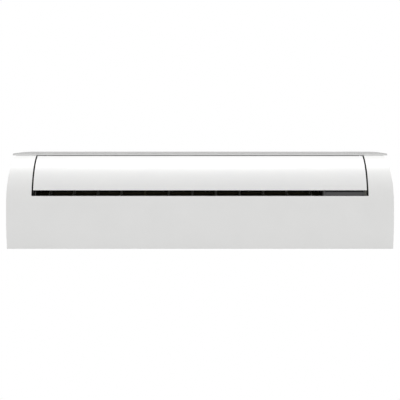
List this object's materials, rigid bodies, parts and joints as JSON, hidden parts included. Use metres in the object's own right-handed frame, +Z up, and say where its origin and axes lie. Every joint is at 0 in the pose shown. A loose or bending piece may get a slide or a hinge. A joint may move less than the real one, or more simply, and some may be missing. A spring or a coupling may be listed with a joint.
{
  "type": "mini split indoor unit",
  "caption": "Long wall-hung indoor air unit with a curved outlet flap over a slot at the upper front, swivelling vanes, a cross-flow fan, slanted coil, pull-out filters and an underside grille.",
  "frame": {"origin": "middle of the back face of the wall plate, in the plane of the wall", "axes": "+X to the right as seen from the room, +Y into the wall, +Z up"},
  "size_m": [1, 0.21, 0.243],
  "materials": {
    "casing_white": "satin injection-moulded ABS",
    "flap_white": "satin injection-moulded ABS",
    "cover_grey": "fine-grained moulded ABS",
    "liner_white": "moulded ABS",
    "grille_white": "moulded ABS",
    "dark_grey_plastic": "moulded ABS",
    "smoked_window": "smoked polycarbonate",
    "galvanised_steel": "galvanised sheet",
    "chassis_plastic": "moulded HIPS",
    "duct_black": "moulded ABS",
    "vane_black": "moulded PP",
    "fan_plastic": "glass-filled AS resin",
    "bright_steel": "ground and zinc plated",
    "bronze_bush": "sintered bronze",
    "black_rubber": "moulded rubber",
    "motor_shell": "resin-moulded and zinc shell",
    "fin_aluminium": "pressed fin stock",
    "copper_tube": "drawn copper tube",
    "brass_nut": "turned brass",
    "box_plastic": "flame-retardant ABS",
    "circuit_board": "glass epoxy board",
    "terminal_plastic": "moulded PBT",
    "black_plastic": "moulded nylon",
    "bush_plastic": "acetal",
    "filter_frame": "moulded PP",
    "filter_mesh": "woven PP net"
  },
  "bodies": {
    "root": {"bush_holder": "black_rubber", "cable_gland": "black_plastic", "casing_screws": "bright_steel", "coil_end_plate_left": "galvanised_steel", "coil_end_plate_right": "galvanised_steel", "coil_fins": "fin_aluminium", "coil_tubes": "copper_tube", "control_board": "circuit_board", "control_box": "box_plastic", "control_lid": "box_plastic", "drain_pan": "chassis_plastic", "drain_pipe": "chassis_plastic", "fan_bush": "bronze_bush", "fan_motor": "motor_shell", "filter_guide_centre": "chassis_plastic", "filter_guide_left": "chassis_plastic", "filter_guide_right": "chassis_plastic", "flap_bush_left": "bush_plastic", "flap_bush_right": "bush_plastic", "flap_motor": "motor_shell", "front_casing": "casing_white", "gas_pipe": "copper_tube", "gas_union": "brass_nut", "liquid_pipe": "copper_tube", "liquid_union": "brass_nut", "motor_bracket": "galvanised_steel", "outlet_duct": "duct_black", "rear_chassis": "chassis_plastic", "receiver_cover": "dark_grey_plastic", "receiver_window": "smoked_window", "return_bends": "copper_tube", "terminal_block": "terminal_plastic", "top_cover": "cover_grey", "vane_motor_left": "motor_shell", "vane_motor_right": "motor_shell", "wall_plate": "galvanised_steel"},
    "flap": {"flap_panel": "flap_white", "flap_liner": "liner_white"},
    "fan": {"fan_rotor": "fan_plastic", "fan_stub_shaft": "bright_steel", "motor_shaft": "bright_steel"},
    "vane_body_01": {"vane_01": "vane_black"},
    "vane_body_02": {"vane_02": "vane_black"},
    "vane_body_03": {"vane_03": "vane_black"},
    "vane_body_04": {"vane_04": "vane_black"},
    "vane_body_05": {"vane_05": "vane_black"},
    "vane_body_06": {"vane_06": "vane_black"},
    "vane_body_07": {"vane_07": "vane_black"},
    "vane_body_08": {"vane_08": "vane_black"},
    "vane_body_09": {"vane_09": "vane_black"},
    "vane_body_10": {"vane_10": "vane_black"},
    "vane_body_11": {"vane_11": "vane_black"},
    "link_left": {"vane_link_left": "vane_black"},
    "link_right": {"vane_link_right": "vane_black"},
    "filter_left": {"filter_frame_left": "filter_frame", "filter_mesh_left": "filter_mesh"},
    "filter_right": {"filter_frame_right": "filter_frame", "filter_mesh_right": "filter_mesh"},
    "grille": {"intake_grille": "grille_white"},
    "button": {"manual_button": "dark_grey_plastic"}
  },
  "joints": [
    {"name": "flap_hinge", "type": "hinge", "parent": "root", "child": "flap", "pos_m": [0, -0.1279, 0.1], "axis": [-1, 0, 0], "range_deg": [0, 65]},
    {"name": "fan_spin", "type": "hinge", "parent": "root", "child": "fan", "pos_m": [0, -0.078, 0.046], "axis": [1, 0, 0], "continuous": true},
    {"name": "vane_swing_01", "type": "hinge", "parent": "root", "child": "vane_body_01", "pos_m": [-0.3925, -0.146, 0.0135], "axis": [0, 0, 1], "range_deg": [-31.5, 31.5]},
    {"name": "vane_swing_02", "type": "hinge", "parent": "root", "child": "vane_body_02", "pos_m": [-0.3304, -0.146, 0.0135], "axis": [0, 0, 1], "range_deg": [-31.5, 31.5]},
    {"name": "vane_swing_03", "type": "hinge", "parent": "root", "child": "vane_body_03", "pos_m": [-0.2683, -0.146, 0.0135], "axis": [0, 0, 1], "range_deg": [-31.5, 31.5]},
    {"name": "vane_swing_04", "type": "hinge", "parent": "root", "child": "vane_body_04", "pos_m": [-0.2062, -0.146, 0.0135], "axis": [0, 0, 1], "range_deg": [-31.5, 31.5]},
    {"name": "vane_swing_05", "type": "hinge", "parent": "root", "child": "vane_body_05", "pos_m": [-0.082, -0.146, 0.0135], "axis": [0, 0, 1], "range_deg": [-31.5, 31.5]},
    {"name": "vane_swing_06", "type": "hinge", "parent": "root", "child": "vane_body_06", "pos_m": [-0.0199, -0.146, 0.0135], "axis": [0, 0, 1], "range_deg": [-31.5, 31.5]},
    {"name": "vane_swing_07", "type": "hinge", "parent": "root", "child": "vane_body_07", "pos_m": [0.0422, -0.146, 0.0135], "axis": [0, 0, 1], "range_deg": [-31.5, 31.5]},
    {"name": "vane_swing_08", "type": "hinge", "parent": "root", "child": "vane_body_08", "pos_m": [0.1043, -0.146, 0.0135], "axis": [0, 0, 1], "range_deg": [-31.5, 31.5]},
    {"name": "vane_swing_09", "type": "hinge", "parent": "root", "child": "vane_body_09", "pos_m": [0.1664, -0.146, 0.0135], "axis": [0, 0, 1], "range_deg": [-31.5, 31.5]},
    {"name": "vane_swing_10", "type": "hinge", "parent": "root", "child": "vane_body_10", "pos_m": [0.2285, -0.146, 0.0135], "axis": [0, 0, 1], "range_deg": [-31.5, 31.5]},
    {"name": "vane_swing_11", "type": "hinge", "parent": "root", "child": "vane_body_11", "pos_m": [0.2906, -0.146, 0.0135], "axis": [0, 0, 1], "range_deg": [-31.5, 31.5]},
    {"name": "link_slide_left", "type": "slide", "parent": "root", "child": "link_left", "axis": [1, 0, 0], "range_m": [-0.0071, 0.0071]},
    {"name": "link_slide_right", "type": "slide", "parent": "root", "child": "link_right", "axis": [1, 0, 0], "range_m": [-0.0071, 0.0071]},
    {"name": "filter_slide_left", "type": "slide", "parent": "root", "child": "filter_left", "axis": [0, -0.9238, -0.3828], "range_m": [0, 0.15]},
    {"name": "filter_slide_right", "type": "slide", "parent": "root", "child": "filter_right", "axis": [0, -0.9238, -0.3828], "range_m": [0, 0.15]},
    {"name": "grille_hinge", "type": "hinge", "parent": "root", "child": "grille", "pos_m": [0, -0.034, -0.119], "axis": [1, 0, 0], "range_deg": [0, 75]},
    {"name": "button_press", "type": "slide", "parent": "root", "child": "button", "axis": [0, 1, 0], "range_m": [0, 0.0015], "stiffness_N_per_m": 300, "springref_m": -0.001}
  ],
  "couplings": [
    {"joint": "vane_swing_01", "follows": "link_slide_left", "rad_per_m": -73.638},
    {"joint": "vane_swing_02", "follows": "link_slide_left", "rad_per_m": -73.638},
    {"joint": "vane_swing_03", "follows": "link_slide_left", "rad_per_m": -73.638},
    {"joint": "vane_swing_04", "follows": "link_slide_left", "rad_per_m": -73.638},
    {"joint": "vane_swing_05", "follows": "link_slide_right", "rad_per_m": -73.638},
    {"joint": "vane_swing_06", "follows": "link_slide_right", "rad_per_m": -73.638},
    {"joint": "vane_swing_07", "follows": "link_slide_right", "rad_per_m": -73.638},
    {"joint": "vane_swing_08", "follows": "link_slide_right", "rad_per_m": -73.638},
    {"joint": "vane_swing_09", "follows": "link_slide_right", "rad_per_m": -73.638},
    {"joint": "vane_swing_10", "follows": "link_slide_right", "rad_per_m": -73.638},
    {"joint": "vane_swing_11", "follows": "link_slide_right", "rad_per_m": -73.638}
  ]
}
